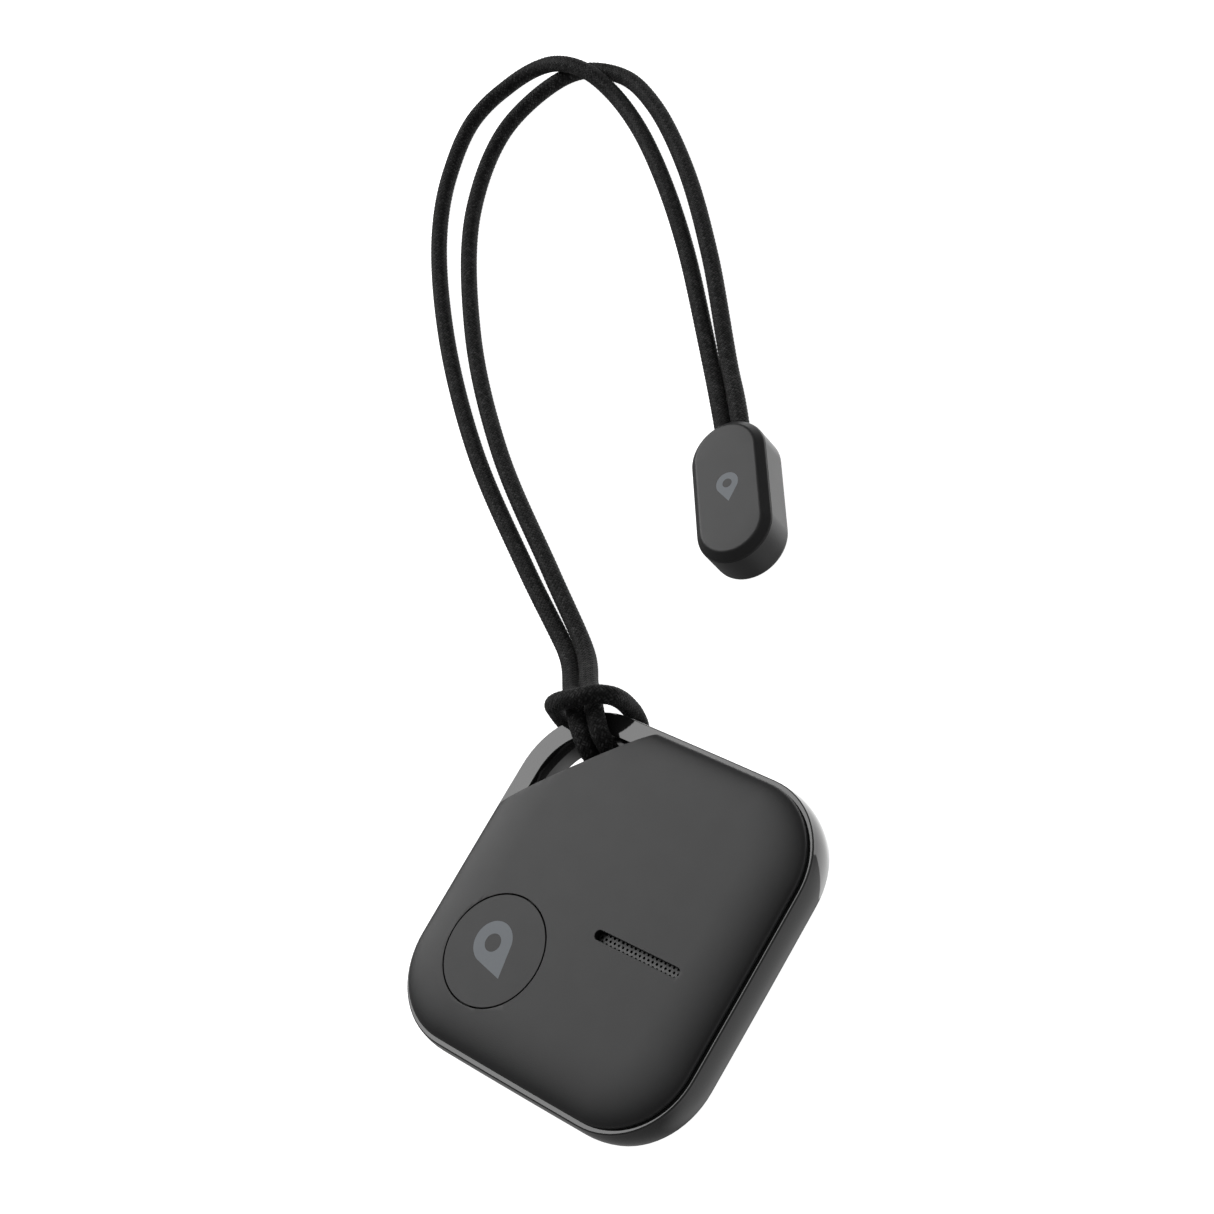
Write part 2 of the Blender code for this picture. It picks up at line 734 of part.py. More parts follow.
def bead():
    edge = 0.0005
    rings = [(bead_outline(BEAD_RADIUS - edge), 0), (bead_outline(BEAD_RADIUS - edge / 4), edge / 4)]
    rings += [(bead_outline(BEAD_RADIUS), edge), (bead_outline(BEAD_RADIUS - 0.00004), BEAD_SPLIT)]
    body = loft("bead_body", rings)
    cavity = 0.0034
    mouth_turn = math.atan2(BEAD_AXIS.y, BEAD_AXIS.x)
    mouth_place = BEAD_CENTRE - BEAD_AXIS * (BEAD_STRAIGHT + BEAD_RADIUS)
    across = CORD_PITCH + CORD_DIAMETER + 0.0006
    upright = CORD_DIAMETER + 0.0006
    low = BEAD_MID - upright / 2
    mouth = block("bead_mouth", mouth_place, (0.0060, across), low, low + upright, mouth_turn)
    bevelled(mouth, 0.0009, 3)
    cut(body, plate("bead_cavity", [bead_outline(cavity)], 0.0010, 0.0060), mouth)
    finished(body, BEAD_PLASTIC)

    seam = BEAD_SPLIT + 0.0001
    rings = [(bead_outline(BEAD_RADIUS - 0.00005), seam)]
    rings += [(bead_outline(BEAD_RADIUS - 0.0001), seam + 0.0001)]
    rings += [(bead_outline(BEAD_FACE_RADIUS + 0.0001), BEAD_TOP - 0.00006)]
    rings += [(bead_outline(BEAD_FACE_RADIUS), BEAD_TOP)]
    cap = loft("bead_cap", rings)
    join(cap, plate("bead_cap_lip", [bead_outline(cavity - 0.0001)], seam - 0.0001, seam + 0.0004))
    towards_mouth = -BEAD_AXIS
    pin = 0.0036
    pocket = pin_outline(BEAD_CENTRE, towards_mouth, pin + 2 * ICON_GAP)[0]
    cut(cap, plate("bead_icon_pocket", [pocket], BEAD_TOP - ICON_DEPTH - 0.0001, 0.0070))
    finished(cap, BEAD_PLASTIC)
    icon = list(pin_outline(BEAD_CENTRE, towards_mouth, pin))
    finished(plate("bead_icon", icon, BEAD_TOP - ICON_DEPTH, BEAD_TOP), ICON_GREY)

    plug_place = BEAD_CENTRE + BEAD_AXIS * 0.0005
    plug = block("cord_end_plug", plug_place, (0.0080, 0.0050), 0.0013, 0.0037, mouth_turn)
    finished(bevelled(plug, 0.0005), RUBBER)


def set_on_axis(name, place, children):
    """Puts an empty on a joint's axis and parents the moving pieces to it."""
    axis = bpy.data.objects.new(name, None)
    parts.objects.link(axis)
    axis.location = (*place, 0)
    for child in children:
        child.parent = axis
        child.matrix_parent_inverse = Matrix.Translation((-place[0], -place[1], 0))


clear_scene()
parts = new_collection("tracker_tag")
cutters = new_collection("tracker_tag_cutters")

SOFT_TOUCH = material("soft_touch_black", (0.060, 0.060, 0.062), 0.62)
GLOSS_BLACK = material("gloss_black", (0.012, 0.012, 0.013), 0.12)
BEAD_PLASTIC = material("bead_plastic", (0.055, 0.055, 0.057), 0.45)
CORD_FABRIC = material("cord_fabric", (0.012, 0.012, 0.012), 0.9)
ICON_GREY = material("icon_grey", (0.14, 0.15, 0.17), 0.5)
MESH_STEEL = material("mesh_steel", (0.16, 0.16, 0.16), 0.4, 0.8)
RUBBER = material("rubber", (0.02, 0.02, 0.02), 0.8)
DUST_CLOTH = material("dust_cloth", (0.008, 0.008, 0.008), 0.95)
STEEL = material("steel", (0.6, 0.6, 0.6), 0.3, 1.0)
BRASS = material("brass", (0.72, 0.52, 0.2), 0.3, 1.0)
CERAMIC_WHITE = material("ceramic_white", (0.75, 0.74, 0.7), 0.4)
CERAMIC_TAN = material("ceramic_tan", (0.5, 0.4, 0.28), 0.4)
BOARD_GREEN = material("board_green", (0.02, 0.11, 0.05), 0.4)
CHASSIS_GREY = material("chassis_grey", (0.09, 0.09, 0.09), 0.6)

mid_frame()
front_cover()
rear_cover()
lip_seal("front_seal", RIM_TOP - LIP_DEPTH + 0.0001, RIM_TOP - 0.0001)
lip_seal("rear_seal", FRAME_LOW + 0.0001, FRAME_LOW + LIP_DEPTH - 0.0001)
coin_cell()
inner_chassis()
battery_contacts()
circuit_board()
board_screws()
board_components()
buzzer()
lanyard_cord()
bead()
finished(ring("door_gasket", (0, 0), 0.0103, 0.0108, 0.00193, 0.00215, 48), RUBBER)
set_on_axis("door_axis", (0, 0), [battery_door()])
set_on_axis("button_axis", BUTTON_PLACE, button_cap())
set_on_axis("plunger_axis", BUTTON_PLACE, [tactile_switch()])
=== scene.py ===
"""The looks of a Bluetooth tracker tag that lies on a pale floor with its cord lanyard and end bead."""

import math

import bmesh
import bpy
from mathutils import Matrix, Vector


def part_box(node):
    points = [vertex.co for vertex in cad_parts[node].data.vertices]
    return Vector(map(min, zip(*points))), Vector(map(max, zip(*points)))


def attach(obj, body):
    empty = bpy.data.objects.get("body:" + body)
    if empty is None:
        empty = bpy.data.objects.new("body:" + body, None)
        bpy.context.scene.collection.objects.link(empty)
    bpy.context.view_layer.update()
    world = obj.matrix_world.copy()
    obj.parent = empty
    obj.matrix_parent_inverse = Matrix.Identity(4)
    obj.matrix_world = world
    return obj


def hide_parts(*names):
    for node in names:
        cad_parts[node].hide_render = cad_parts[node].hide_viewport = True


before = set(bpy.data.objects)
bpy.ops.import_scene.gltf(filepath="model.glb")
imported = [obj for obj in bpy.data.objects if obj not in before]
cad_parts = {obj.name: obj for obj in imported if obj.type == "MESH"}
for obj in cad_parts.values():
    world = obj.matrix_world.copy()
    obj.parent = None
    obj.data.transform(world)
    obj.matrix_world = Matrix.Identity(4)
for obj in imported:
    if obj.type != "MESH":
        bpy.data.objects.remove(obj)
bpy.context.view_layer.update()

# Tag outline and heights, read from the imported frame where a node's box gives them
RIM_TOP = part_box("mid_frame")[1].z
FRAME_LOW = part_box("mid_frame")[0].z
FRONT_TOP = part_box("front_cover")[1].z
RIM_HALF = 0.0190
RIM_CORNER = 0.0090
SIDE_BOW = 0.00003
SIDE_BULGE = 0.00025
RIM_EDGE = 0.00016
COVER_INSET = 0.0005
REAR_INSET = 0.0010
EYELET_CUT = 0.016617
REAR_CUT = 0.0158
HOLE_HALF = 0.01665
HOLE_CORNER = 0.0066
HOLE_CUT = 0.0158
HOLE_BULGE = 0.0002
CAVITY_HALF = 0.0170
CAVITY_CUT = 0.0146
FRONT_SHOULDER = 0.0060
FRONT_EDGE_HEIGHT = 0.00035
FRONT_INNER = 0.0067
REAR_SHOULDER = 0.0030
REAR_EDGE_HEIGHT = 0.00075
INNER_CENTRES = 0.0100
FRONT_HOLLOW_HALF = 0.0154
FRONT_HOLLOW_CUT = 0.0130
ARC_STEPS = 18
SIDE_STEPS = 12
SHARP_ANGLE = 40

# Button, slot and door
BUTTON_LOW, BUTTON_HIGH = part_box("button_cap")
BUTTON_PLACE = ((BUTTON_LOW.x + BUTTON_HIGH.x) / 2, (BUTTON_LOW.y + BUTTON_HIGH.y) / 2)
BUTTON_RADIUS = 0.00595
BUTTON_FLANGE = 0.0066
BUTTON_GAP = 0.00013
ICON_HEIGHT = 0.0064
BUTTON_EDGE = 0.00004
BUTTON_LEDGE = 0.0066
BUTTON_UNDERSIDE = 0.00635
STEM_RADIUS = 0.0009
STEM_END = 0.00625
ICON_DEPTH = 0.00012
SLOT_START = (0.00205, -0.0022)
SLOT_END = (0.0121, -0.00205)
SLOT_RADIUS = 0.00052
MESH_LOW = 0.0064
MESH_HIGH = 0.0066
MESH_MARGIN = 0.0004
MESH_PITCH = 0.00056
MESH_ROW_GAP = 0.00045
MESH_HOLE = 0.00015
DOOR_RECESS = 0.0128
DOOR_OPENING = 0.0111
DOOR_FLANGE = 0.0126
DOOR_BODY = 0.0109
DOOR_HOLLOW = 0.0102
DOOR_LEDGE = 0.0005
DOOR_INSIDE = 0.0010
DOOR_TOP = 0.00185
COIN_SLOT_HALF = 0.0055
COIN_SLOT_RADIUS = 0.0009

# Cord, with its braid's strands round it, the length of a pick and the samples drawn on each, and bead
CORD_DIAMETER = 0.0020
CORD_PITCH = 0.00204
BRAID_STRANDS = 8
BRAID_YARNS = 2
BRAID_PICK = 0.00058
BRAID_RELIEF = 0.00009
BRAID_PHASE = 0.125
BRAID_SAMPLES = 4
BEAD_CENTRE = Vector((-0.0150, 0.04615))
BEAD_AXIS = Vector((0.617, -0.787)).normalized()
BEAD_STRAIGHT = 0.00446
BEAD_RADIUS = 0.00442
BEAD_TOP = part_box("bead_cap")[1].z
BEAD_SPLIT = 0.0040
BEAD_SEAM = 0.00002
BEAD_MID = 0.0025
BEAD_WALL = 0.0010
BEAD_CAVITY = 0.0034
BEAD_BROW = 0.00085
BEAD_ICON_HEIGHT = 0.0036
MOUTH_LENGTH = 0.0060
MOUTH_SPARE = 0.0006
MOUTH_ROUND = 0.0009

HALF_ROOT = math.sqrt(0.5)


# Camera


def make_camera():
    data = bpy.data.cameras.new("camera")
    data.sensor_width = 36.0
    data.lens = 76.0
    data.clip_start = 0.01
    data.clip_end = 10.0
    camera = bpy.data.objects.new("camera", data)
    bpy.context.scene.collection.objects.link(camera)
    right = Vector((0.7078, 0.5024, -0.4966)).normalized()
    back = Vector((0.6483, -0.1829, 0.7391))
    back = (back - back.dot(right) * right).normalized()
    turn = Matrix((right, back.cross(right), back)).transposed().to_4x4()
    camera.matrix_world = Matrix.Translation((0.1549, -0.0204, 0.2054)) @ turn
    bpy.context.scene.camera = camera


# Outlines in the plane


def arc(centre, radius, start, end, steps):
    found = []
    for step in range(steps + 1):
        angle = math.radians(start + (end - start) * step / steps)
        found.append((centre[0] + radius * math.cos(angle), centre[1] + radius * math.sin(angle)))
    return found


def rounded_square(half, corner):
    """A square with round corners, whose sides bow out a little in their middle."""
    inner = half - corner
    outline = []
    for turn in range(4):
        start = 90 * turn
        centre = Vector((inner, inner))
        centre.rotate(Matrix.Rotation(math.radians(start), 2))
        outline += arc(centre, corner, start, start + 90, ARC_STEPS)
        for step in range(1, SIDE_STEPS):
            along = 1 - 2 * step / SIDE_STEPS
            point = Vector((inner * along, half + SIDE_BOW * (1 - along * along)))
            point.rotate(Matrix.Rotation(math.radians(start), 2))
            outline.append(tuple(point))
    return outline


def diagonal(u, v):
    """The point at u towards the eyelet corner and v along the eyelet's bar."""
    return (HALF_ROOT * (v - u), HALF_ROOT * (u + v))


def beyond(limit):
    """A large rectangle from limit outwards, towards the eyelet corner."""
    far = 0.040
    return [diagonal(limit, -far), diagonal(limit, far), diagonal(far, far), diagonal(far, -far)]


def stadium(start, end, radius, steps=24):
    along = math.degrees(math.atan2(end[1] - start[1], end[0] - start[0]))
    first = arc(start, radius, along + 90, along + 270, steps)
    return first + arc(end, radius, along - 90, along + 90, steps)


def bead_outline(radius):
    run = BEAD_STRAIGHT * BEAD_AXIS
    return stadium(BEAD_CENTRE - run, BEAD_CENTRE + run, radius, 32)


def pin_outline(centre, up, height):
    """A map pin, with its head towards up, and its round window."""
    head = height * 0.36
    middle = Vector(centre) + up * (height / 2 - head)
    facing = math.degrees(math.atan2(up[1], up[0]))
    body = arc(middle, head, facing - 118, facing + 118, 48)
    tip = Vector(centre) - up * (height / 2)
    return body + [tuple(tip)], arc(middle, head * 0.42, 0, 352.5, 47)


# Solids


def add_mesh(name, bm):
    bmesh.ops.recalc_face_normals(bm, faces=bm.faces)
    mesh = bpy.data.meshes.new(name)
    bm.to_mesh(mesh)
    bm.free()
    obj = bpy.data.objects.new(name, mesh)
    bpy.context.scene.collection.objects.link(obj)
    return obj


def loft(name, rings):
    """A closed solid through level rings with the same count of points. Each ring is (outline, z)."""
    bm = bmesh.new()
    levels = []
    for outline, z in rings:
        levels.append([bm.verts.new((x, y, z)) for x, y in outline])
    for low, high in zip(levels, levels[1:]):
        for i in range(len(low)):
            j = (i + 1) % len(low)
            bm.faces.new((low[i], low[j], high[j], high[i]))
    bm.faces.new(levels[0])
    bm.faces.new(levels[-1])
    return add_mesh(name, bm)


def evaluated_mesh(obj):
    bpy.context.view_layer.update()
    graph = bpy.context.evaluated_depsgraph_get()
    return bpy.data.meshes.new_from_object(obj.evaluated_get(graph))


def plate(name, outlines, low, high):
    """A flat piece between two heights, with the outlines after the first as its holes."""
    curve = bpy.data.curves.new(name, "CURVE")
    curve.dimensions = "2D"
    curve.fill_mode = "BOTH"
    curve.extrude = (high - low) / 2
    for outline in outlines:
        spline = curve.splines.new("POLY")
        spline.points.add(len(outline) - 1)
        spline.use_cyclic_u = True
        for point, (x, y) in zip(spline.points, outline):
            point.co = (x, y, 0, 1)
    drawn = bpy.data.objects.new(name, curve)
    bpy.context.scene.collection.objects.link(drawn)
    mesh = evaluated_mesh(drawn)
    bpy.data.objects.remove(drawn, do_unlink=True)
    bm = bmesh.new()
    bm.from_mesh(mesh)
    bpy.data.meshes.remove(mesh)
    bmesh.ops.remove_doubles(bm, verts=bm.verts, dist=1e-7)
    bmesh.ops.translate(bm, verts=bm.verts, vec=(0, 0, (low + high) / 2))
    return add_mesh(name, bm)


def disc(name, centre, radius, low, high, segments=96):
    outline = arc(centre, radius, 0, 360 - 360 / segments, segments - 1)
    return loft(name, [(outline, low), (outline, high)])


def block(name, centre, size, low, high, turn=0.0):
    bm = bmesh.new()
    bmesh.ops.create_cube(bm, size=1.0)
    bmesh.ops.scale(bm, verts=bm.verts, vec=(size[0], size[1], high - low))
    bmesh.ops.rotate(bm, verts=bm.verts, matrix=Matrix.Rotation(turn, 3, "Z"))
    bmesh.ops.translate(bm, verts=bm.verts, vec=(centre[0], centre[1], (low + high) / 2))
    return add_mesh(name, bm)


def turned(name, centre, profile, segments=96):
    """A solid turned about an upright axis through centre, from a profile of (radius, z)."""
    bm = bmesh.new()
    rings = []
    for radius, z in profile:
        if radius == 0:
            rings.append([bm.verts.new((centre[0], centre[1], z))])
        else:
            outline = arc(centre, radius, 0, 360 - 360 / segments, segments - 1)
            rings.append([bm.verts.new((x, y, z)) for x, y in outline])
    for upper, lower in zip(rings, rings[1:]):
        for i in range(segments):
            j = (i + 1) % segments
            corners = [upper[i % len(upper)], upper[j % len(upper)]]
            corners += [lower[j % len(lower)], lower[i % len(lower)]]
            bm.faces.new(list(dict.fromkeys(corners)))
    return add_mesh(name, bm)


def settled(obj):
    """The object with its modifiers applied, and without the cutters they used."""
    mesh = evaluated_mesh(obj)
    others = [m.object for m in obj.modifiers if m.type == "BOOLEAN"]
    obj.modifiers.clear()
    obj.data = mesh
    for other in others:
        bpy.data.objects.remove(other, do_unlink=True)
    return obj


def cut(obj, *others, operation="DIFFERENCE"):
    for other in others:
        modifier = obj.modifiers.new(other.name, "BOOLEAN")
        modifier.operation = operation
        modifier.object = other
    return settled(obj)


def softened(obj, width, segments=3, angle=35):
    """Rounds the object's sharp edges."""
    modifier = obj.modifiers.new("edges", "BEVEL")
    modifier.width = width
    modifier.segments = segments
    modifier.limit_method = "ANGLE"
    modifier.angle_limit = math.radians(angle)
    modifier.use_clamp_overlap = False
    return settled(obj)


def finished(obj, body, material, slot, *nodes):
    """Shades the piece, rides it on its body and hides the CAD nodes that it stands for."""
    obj.data.materials.clear()
    obj.data.materials.append(material)
    obj.data.shade_smooth()
    obj.data.set_sharp_from_angle(angle=math.radians(SHARP_ANGLE))
    weighted = obj.modifiers.new("normals", "WEIGHTED_NORMAL")
    weighted.keep_sharp = True
    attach(obj, body)
    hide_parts(*nodes)


# Materials


class Nodes:
    """A material's node tree, with short calls for the nodes that the materials use."""

    def __init__(self, name):
        self.material = bpy.data.materials.new(name)
        self.material.use_nodes = True
        self.tree = self.material.node_tree
        self.shader = self.tree.nodes["Principled BSDF"]

    def put(self, socket, value):
        if isinstance(value, bpy.types.NodeSocket):
            self.tree.links.new(value, socket)
        elif value is not None:
            socket.default_value = value

    def node(self, kind, output=0, inputs=(), **settings):
        made = self.tree.nodes.new(kind)
        for key, value in settings.items():
            setattr(made, key, value)
        for key, value in dict(inputs).items():
            self.put(made.inputs[key], value)
        return made.outputs[output]

    def maths(self, operation, *values):
        return self.node("ShaderNodeMath", inputs=dict(enumerate(values)), operation=operation)

    def place(self):
        return self.node("ShaderNodeTexCoord", "Object")

    def noise(self, scale, detail=4.0, place=None):
        inputs = {"Vector": place or self.place(), "Scale": scale, "Detail": detail}
        return self.node("ShaderNodeTexNoise", inputs=inputs)

    def between(self, value, low, high, start=0.0, end=1.0):
        return self.node(
            "ShaderNodeMapRange",
            inputs={"Value": value, "From Min": start, "From Max": end, "To Min": low, "To Max": high},
        )

    def colours(self, value, first, second):
        """A colour from first to second as the value goes from 0 to 1."""
        made = self.tree.nodes.new("ShaderNodeMix")
        made.data_type = "RGBA"
        self.put(made.inputs[0], value)
        self.put(made.inputs[6], (*first, 1.0))
        self.put(made.inputs[7], (*second, 1.0))
        return made.outputs[2]

    def bump(self, height, distance, strength=1.0, normal=None):
        inputs = {"Height": height, "Distance": distance, "Strength": strength, "Normal": normal}
        return self.node("ShaderNodeBump", inputs=inputs)

    def set(self, **values):
        for key, value in values.items():
            self.put(self.shader.inputs[key.replace("_", " ")], value)
        return self.material


def grey(level, blue=0.0):
    return (level, level, level + blue)


def moulded(name, dark, light, rough, grain, depth, **settings):
    """Moulded plastic or rubber: barely cloudy colour and gloss, and a fine grain."""
    nodes = Nodes(name)
    cloud = nodes.noise(180.0)
    grains = nodes.noise(grain, 2.0)
    return nodes.set(
        Base_Color=nodes.colours(cloud, dark, light),
        Roughness=nodes.between(nodes.noise(420.0), rough - 0.008, rough + 0.008, 0.3, 0.7),
        Normal=nodes.bump(grains, depth),
        **settings,
    )


def metal(name, dark, light, rough, stretch):
    """Metal with a brushed grain."""
    nodes = Nodes(name)
    scaled = nodes.node(
        "ShaderNodeMapping", inputs={"Vector": nodes.place(), "Scale": stretch}
    )
    brushed = nodes.noise(900.0, 3.0, scaled)
    return nodes.set(
        Base_Color=nodes.colours(brushed, dark, light),
        Roughness=nodes.between(brushed, rough - 0.08, rough + 0.08, 0.3, 0.7),
        Metallic=1.0,
        Normal=nodes.bump(brushed, 0.000004),
    )


def braid_material():
    """Black braided cord: each pick shows two yarns; its colour carries a painted highlight on their
    crests and painted shade in the grooves.
    """
    nodes = Nodes("braided_cord")
    drawn = nodes.node("ShaderNodeUVMap", uv_map="braid")
    split = nodes.node("ShaderNodeSeparateXYZ", 0, {"Vector": drawn}).node
    u, v = split.outputs[0], split.outputs[1]
    p = nodes.maths("ADD", u, v)
    q = nodes.maths("SUBTRACT", u, v)
    cells = nodes.maths("ADD", nodes.maths("FLOOR", p), nodes.maths("FLOOR", q))
    odd = nodes.maths("ABSOLUTE", nodes.maths("MODULO", cells, 2.0))
    across = nodes.node("ShaderNodeMix", inputs={0: odd, 2: p, 3: q})
    along = nodes.node("ShaderNodeMix", inputs={0: odd, 2: q, 3: p})
    counted = nodes.maths("MULTIPLY", across, BRAID_YARNS)
    yarns = nodes.maths("ABSOLUTE", nodes.maths("SINE", nodes.maths("MULTIPLY", counted, math.pi)))
    arched = nodes.maths("ABSOLUTE", nodes.maths("SINE", nodes.maths("MULTIPLY", along, math.pi)))
    picks = {0: nodes.maths("FLOOR", counted), 1: nodes.maths("FLOOR", along), 2: odd}
    place = nodes.node("ShaderNodeCombineXYZ", 0, picks)
    each = nodes.node("ShaderNodeTexWhiteNoise", "Value", {"Vector": place})
    fibres = nodes.noise(7000.0, 2.0)
    uneven = nodes.between(nodes.noise(1500.0, 1.0), 0.3, 1.5, 0.3, 0.7)
    # painted highlight: the colour is lightest on each yarn's crest and the middle of its pick and
    # darkest in the grooves, with a random strength per pick
    crest = nodes.maths("MULTIPLY", nodes.maths("POWER", yarns, 1.3), arched)
    painted_crest_highlight = nodes.maths("MULTIPLY", crest, nodes.maths("POWER", each, 1.1))
    painted_crest_highlight = nodes.maths("MULTIPLY", painted_crest_highlight, uneven)
    height = nodes.maths("ADD", yarns, nodes.maths("MULTIPLY", fibres, 0.6))
    return nodes.set(
        # the base colour runs from painted groove shade to the painted crest highlight
        Base_Color=nodes.colours(painted_crest_highlight, grey(0.0030), grey(0.048)),
        Roughness=nodes.between(fibres, 0.6, 0.8),
        Specular_IOR_Level=0.14,
        Sheen_Weight=0.02,
        Sheen_Roughness=0.5,
        Normal=nodes.bump(height, 0.00006),
    )


def print_material():
    nodes = Nodes("icon_print")
    speckle = nodes.noise(2600.0, 2.0)
    return nodes.set(
        Base_Color=nodes.colours(speckle, (0.095, 0.108, 0.122), (0.118, 0.132, 0.147)),
        Roughness=nodes.between(speckle, 0.5, 0.6),
        Normal=nodes.bump(speckle, 0.000004),
    )


def board_material():
    """Solder mask over traces."""
    nodes = Nodes("board_green")
    traces = nodes.node(
        "ShaderNodeTexBrick",
        "Fac",
        {
            "Vector": nodes.place(),
            "Scale": 260.0,
            "Mortar Size": 0.06,
            "Brick Width": 0.9,
            "Row Height": 0.3,
        },
    )
    return nodes.set(
        Base_Color=nodes.colours(traces, (0.015, 0.090, 0.040), (0.035, 0.150, 0.060)),
        Roughness=nodes.between(nodes.noise(300.0), 0.30, 0.42),
        Normal=nodes.bump(traces, 0.00002),
    )


SOFT_TOUCH = moulded(
    "soft_touch_black", grey(0.0130, 0.0004), grey(0.0144, 0.0004), 0.46, 9000.0, 0.000006,
    Specular_IOR_Level=0.275,
)
GLOSS = moulded("gloss_black", grey(0.0110), grey(0.0120), 0.05, 350.0, 0.0000003)
BEAD_PLASTIC = moulded(
    "bead_black", grey(0.0110, 0.0004), grey(0.0124, 0.0004), 0.42, 9000.0, 0.000005,
    Specular_IOR_Level=0.27,
)
RUBBER = moulded("rubber", (0.010, 0.010, 0.010), (0.020, 0.020, 0.020), 0.75, 3000.0, 0.00001)
DUST_CLOTH = moulded(
    "dust_cloth", (0.002, 0.002, 0.002), (0.006, 0.006, 0.006), 0.95, 12000.0, 0.00002,
    Specular_IOR_Level=0.05,
)
INNER_PLASTIC = moulded("inner_plastic", (0.07, 0.07, 0.07), (0.09, 0.09, 0.09), 0.55, 3000.0, 0.00001)
CERAMIC_WHITE = moulded("ceramic_white", (0.62, 0.61, 0.57), (0.70, 0.69, 0.65), 0.4, 3000.0, 0.00001)
CERAMIC_TAN = moulded("ceramic_tan", (0.42, 0.33, 0.22), (0.50, 0.40, 0.28), 0.45, 3000.0, 0.00001)
STEEL = metal("steel", (0.50, 0.50, 0.49), (0.62, 0.62, 0.61), 0.30, (1.0, 8.0, 1.0))
MESH_STEEL = metal("mesh_steel", (0.052, 0.052, 0.052), (0.062, 0.062, 0.062), 0.50, (6.0, 1.0, 1.0))
BRASS = metal("brass", (0.62, 0.44, 0.16), (0.72, 0.53, 0.21), 0.32, (1.0, 8.0, 1.0))
BRAID = braid_material()
PRINT = print_material()
BOARD = board_material()


# Frame and covers


def half_at(z):
    swell = (z - (RIM_TOP + FRAME_LOW) / 2) / ((RIM_TOP - FRAME_LOW) / 2)
    return RIM_HALF + SIDE_BULGE * (1 - swell * swell)


def mid_frame():
    """The glossy ring, with a convex wall, a small round at each edge and the eyelet's hole."""
    rings = []
    steps = 5
    for step in range(steps + 1):
        angle = math.pi / 2 * step / steps
        inset = RIM_EDGE * (1 - math.sin(angle))
        z = FRAME_LOW + RIM_EDGE * (1 - math.cos(angle))
        rings.append((inset, z))
    walls = 10
    for step in range(1, walls):
        rings.append((0, FRAME_LOW + RIM_EDGE + (RIM_TOP - FRAME_LOW - 2 * RIM_EDGE) * step / walls))
    mirrored = [(inset, RIM_TOP + FRAME_LOW - z) for inset, z in reversed(rings[: steps + 1])]
    outlines = []
    for inset, z in rings + mirrored:
        half = half_at(min(max(z, FRAME_LOW + RIM_EDGE), RIM_TOP - RIM_EDGE)) - inset
        outlines.append((rounded_square(half, half - (RIM_HALF - RIM_CORNER)), z))
    ring = loft("frame_ring", outlines)

    levels = 12
    margin = 0.0010
    hole_rings = []
    for step in range(levels + 1):
        z = FRAME_LOW + (RIM_TOP - FRAME_LOW) * step / levels
        swell = HOLE_BULGE * (1 - (2 * step / levels - 1) ** 2)
        hole_rings.append((rounded_square(HOLE_HALF - swell, HOLE_CORNER - swell), z))
    below = (hole_rings[0][0], FRAME_LOW - margin)
    above = (hole_rings[-1][0], RIM_TOP + margin)
    hole_rings = [below] + hole_rings + [above]
    hole = cut(
        loft("eyelet_hole", hole_rings),
        plate("hole_limit", [beyond(HOLE_CUT)], 0, 0.010),
        operation="INTERSECT",
    )
    cavity_outline = rounded_square(CAVITY_HALF, CAVITY_HALF - INNER_CENTRES)
    cavity = cut(
        loft("cavity", [(cavity_outline, z) for z in (0.001, 0.008)]),
        plate("cavity_limit", [beyond(CAVITY_CUT)], 0, 0.010),
    )
    cut(ring, hole, cavity)
    softened(ring, 0.00008, 3, 50)
    finished(ring, "tag", GLOSS, "gloss_frame", "mid_frame")


def cover_outline(inset):
    return rounded_square(RIM_HALF - inset, RIM_CORNER - inset)


def shoulder_rings(side, flat, edge, seat, width, steps=20):
    """Rings of a cover from its seat, up its steep edge and over a domed shoulder to its flat face."""
    rings = [(cover_outline(side), seat), (cover_outline(side), edge)]
    for step in range(1, steps + 1):
        angle = math.pi / 2 * step / steps
        inset = width * (1 - math.cos(angle)) ** 1.15
        rings.append((cover_outline(side + inset), edge + (flat - edge) * math.sin(angle)))
    return rings


def front_cover():
    seat = RIM_TOP + 0.00005
    edge = RIM_TOP + FRONT_EDGE_HEIGHT
    cover = loft("front_shell", shoulder_rings(COVER_INSET, FRONT_TOP, edge, seat, FRONT_SHOULDER))
    hollow_outline = rounded_square(FRONT_HOLLOW_HALF, FRONT_HOLLOW_HALF - INNER_CENTRES)
    hollow = cut(
        loft("hollow", [(hollow_outline, z) for z in (0.005, FRONT_INNER)]),
        plate("hollow_limit", [beyond(FRONT_HOLLOW_CUT)], 0, 0.010),
    )
    cut(
        cover,
        hollow,
        plate("corner", [beyond(EYELET_CUT)], 0.004, 0.009),
        disc("button_hole", BUTTON_PLACE, BUTTON_RADIUS + BUTTON_GAP, 0.0060, 0.0080),
        plate("slot", [stadium(SLOT_START, SLOT_END, SLOT_RADIUS)], 0.0060, 0.0080),
    )
    softened(cover, 0.00004, 3, 50)
    finished(cover, "tag", SOFT_TOUCH, "soft_touch", "front_cover")


def rear_cover():
    rings = shoulder_rings(REAR_INSET, FRAME_LOW, REAR_EDGE_HEIGHT, 0.00005, REAR_SHOULDER)
    cover = loft("rear_shell", [(outline, FRAME_LOW - z) for outline, z in rings])
    cut(
        cover,
        plate("rear_corner", [beyond(REAR_CUT)], -0.001, 0.004),
        disc("door_recess", (0, 0), DOOR_RECESS, -0.001, 0.0006),
        disc("door_opening", (0, 0), DOOR_OPENING, -0.001, 0.004),
    )
    softened(cover, 0.00005, 3, 50)
    finished(cover, "tag", SOFT_TOUCH, "soft_touch", "rear_cover")


